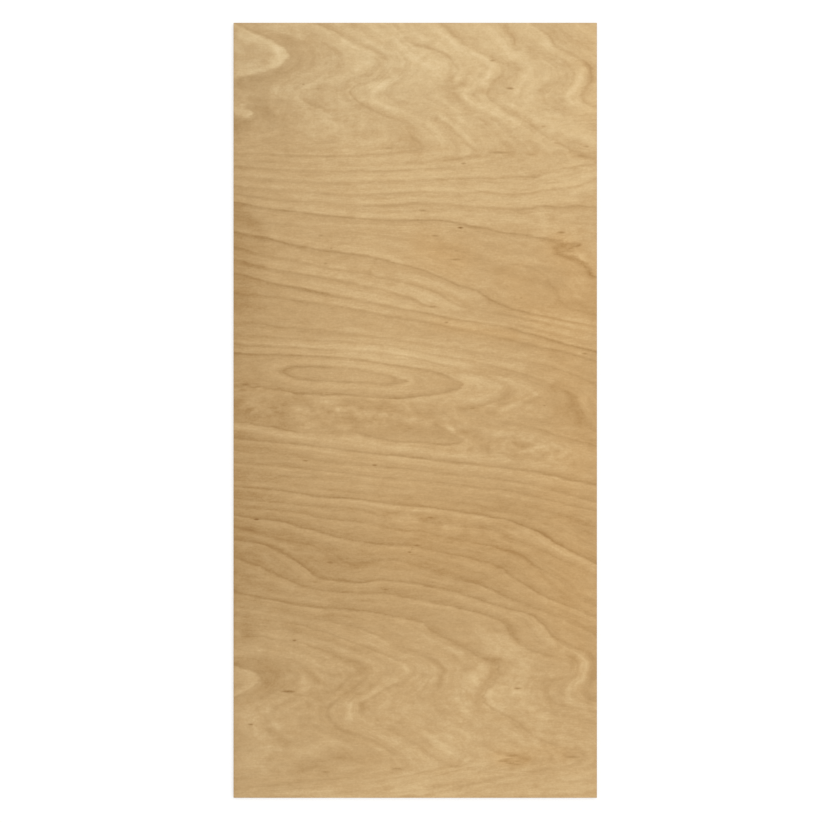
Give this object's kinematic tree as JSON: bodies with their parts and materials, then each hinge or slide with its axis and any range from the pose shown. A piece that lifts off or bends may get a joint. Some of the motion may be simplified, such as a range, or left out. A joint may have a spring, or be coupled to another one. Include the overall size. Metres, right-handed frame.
{
  "type": "plywood sheet",
  "caption": "Flat rectangular sheet of birch plywood with a rotary-cut face veneer, square sawn sides and lightly sanded arrises.",
  "frame": {"origin": "middle of the back face, which the sheet lies on", "axes": "+Z out of the good face, +Y along the sheet's length, +X across it along the face veneer's grain"},
  "size_m": [1.144, 2.44, 0.018],
  "materials": {
    "birch_plywood": null
  },
  "bodies": {
    "root": {"plywood_sheet": "birch_plywood"}
  },
  "joints": []
}
